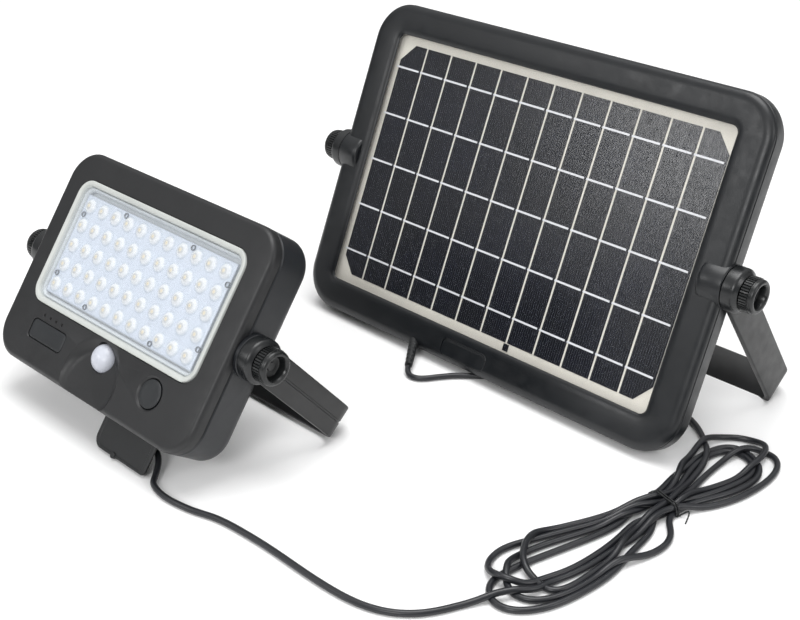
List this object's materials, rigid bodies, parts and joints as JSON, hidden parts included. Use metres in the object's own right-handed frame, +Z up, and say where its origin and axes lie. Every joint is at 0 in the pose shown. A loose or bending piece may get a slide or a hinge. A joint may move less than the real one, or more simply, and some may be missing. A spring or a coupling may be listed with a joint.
{
  "type": "solar flood light",
  "caption": "Solar flood light: a lamp head with LED window and motion sensor and a separate solar panel, each on a tilting U bracket, joined by a thin lead.",
  "frame": {"origin": "middle of the footprint of the lamp head, panel and brackets, at the level of the surface they stand on", "axes": "+X along the long side of the solar panel to its right, +Y away from the viewer towards the back of the panel, +Z up"},
  "size_m": [0.4169, 0.3354, 0.195],
  "materials": {
    "case": "fine matt moulded texture",
    "knob": "satin moulded",
    "button": "matt",
    "rubber": "matt",
    "lead": "satin jacket",
    "rim": "satin",
    "lens": "clear polycarbonate",
    "glass": "clear tempered glass",
    "white": "satin white",
    "dome": "milky moulded lens",
    "pipe": "smoked",
    "steel": "plated",
    "board": "solder mask",
    "cell_wrap": "shrink sleeve",
    "socket": "matt",
    "cell": "dark blue-black silicon"
  },
  "bodies": {
    "heads": {"back_sheet": "white", "battery_cell_1": "cell_wrap", "battery_cell_2": "cell_wrap", "battery_holder": "case", "cable_boot": "rubber", "cell_strip_01": "cell", "cell_strip_02": "cell", "cell_strip_03": "cell", "cell_strip_04": "cell", "cell_strip_05": "cell", "cell_strip_06": "cell", "cell_strip_07": "cell", "cell_strip_08": "cell", "cell_strip_09": "cell", "cell_strip_10": "cell", "cell_strip_11": "cell", "cell_strip_12": "cell", "control_board": "board", "cord_hank": "lead", "cord_lamp_run": "lead", "cord_panel_run": "lead", "cord_tie": "rubber", "dc_plug": "rubber", "dc_socket": "socket", "indicator_light_pipe": "pipe", "junction_box": "case", "lamp_front_cover": "case", "lamp_rear_cover": "case", "lamp_screw_1": "steel", "lamp_screw_2": "steel", "lamp_screw_3": "steel", "lamp_screw_4": "steel", "lamp_seal": "rubber", "led_board": "white", "lens_array": "lens", "lens_rim": "rim", "lens_window": "lens", "panel_badge": "button", "panel_frame": "case", "panel_glass": "glass", "panel_rear_cover": "case", "panel_screw_1": "steel", "panel_screw_2": "steel", "panel_screw_3": "steel", "panel_screw_4": "steel", "panel_seal": "rubber", "pir_dome": "dome", "pir_sensor": "steel", "reflector_frame": "white"},
    "lamp_bracket": {"lamp_bracket": "case"},
    "panel_bracket": {"panel_bracket": "case"},
    "lamp_knob_left": {"lamp_knob_left": "knob"},
    "lamp_knob_right": {"lamp_knob_right": "knob"},
    "panel_knob_left": {"panel_knob_left": "knob"},
    "panel_knob_right": {"panel_knob_right": "knob"},
    "power_button": {"power_button": "button"},
    "mode_button": {"mode_button": "button"},
    "port_cover": {"port_cover": "rubber"}
  },
  "joints": [
    {"name": "lamp_tilt", "type": "hinge", "parent": "heads", "child": "lamp_bracket", "pos_m": [-0.0811, -0.11332, 0.07203], "axis": [1, 0, 0], "range_deg": [-45, 130]},
    {"name": "panel_tilt", "type": "hinge", "parent": "heads", "child": "panel_bracket", "pos_m": [0.0272, 0.08979, 0.09766], "axis": [1, 0, 0], "range_deg": [-18, 120]},
    {"name": "lamp_knob_left_turn", "type": "hinge", "parent": "heads", "child": "lamp_knob_left", "pos_m": [-0.0811, -0.11332, 0.07203], "axis": [-1, 0, 0], "range_deg": [0, 360]},
    {"name": "lamp_knob_right_turn", "type": "hinge", "parent": "heads", "child": "lamp_knob_right", "pos_m": [-0.0811, -0.11332, 0.07203], "axis": [1, 0, 0], "range_deg": [0, 360]},
    {"name": "panel_knob_left_turn", "type": "hinge", "parent": "heads", "child": "panel_knob_left", "pos_m": [0.0272, 0.08979, 0.09766], "axis": [-1, 0, 0], "range_deg": [0, 360]},
    {"name": "panel_knob_right_turn", "type": "hinge", "parent": "heads", "child": "panel_knob_right", "pos_m": [0.0272, 0.08979, 0.09766], "axis": [1, 0, 0], "range_deg": [0, 360]},
    {"name": "power_button_press", "type": "slide", "parent": "heads", "child": "power_button", "axis": [0, 0.8028, -0.5962], "range_m": [0, 0.0008], "stiffness_N_per_m": 1500, "springref_m": -0.0004},
    {"name": "mode_button_press", "type": "slide", "parent": "heads", "child": "mode_button", "axis": [0, 0.8028, -0.5962], "range_m": [0, 0.0008], "stiffness_N_per_m": 1500, "springref_m": -0.0004},
    {"name": "port_cover_swing", "type": "hinge", "parent": "heads", "child": "port_cover", "pos_m": [-0.0498, -0.15232, 0.01784], "axis": [-1, 0, 0], "range_deg": [0, 60]}
  ]
}
